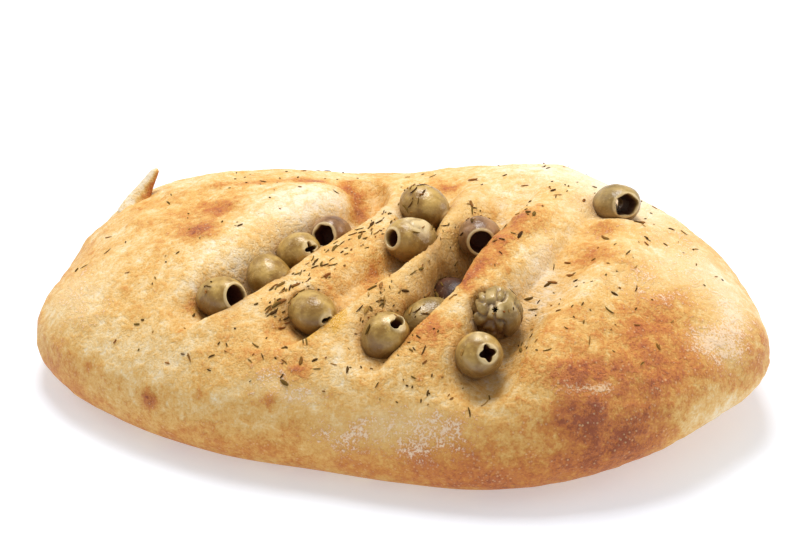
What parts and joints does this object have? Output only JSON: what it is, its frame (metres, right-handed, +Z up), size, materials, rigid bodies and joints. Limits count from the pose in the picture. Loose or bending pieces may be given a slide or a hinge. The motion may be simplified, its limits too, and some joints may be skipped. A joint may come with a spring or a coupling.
{
  "type": "olive fougasse",
  "caption": "Flat slashed loaf with a golden floured crust, pitted green olives sunk in its slashes and dried herbs scattered over the top.",
  "frame": {"origin": "centre of the loaf's footprint box, on the flat sole that rests on the table", "axes": "+X along the loaf towards its browned, raised end, +Y away from the side that the slashes' open ends face, +Z up"},
  "size_m": [0.2591, 0.1775, 0.0661],
  "materials": {
    "crust": "matte golden bread crust with browned spots and dry flour",
    "olive": "satin khaki green olive skin with a wet shine"
  },
  "bodies": {
    "root": {"bread": "crust", "olive_01": "olive", "olive_02": "olive", "olive_03": "olive", "olive_04": "olive", "olive_05": "olive", "olive_06": "olive", "olive_07": "olive", "olive_08": "olive", "olive_09": "olive", "olive_10": "olive", "olive_11": "olive", "olive_12": "olive", "olive_13": "olive", "olive_14": "olive"}
  },
  "joints": []
}
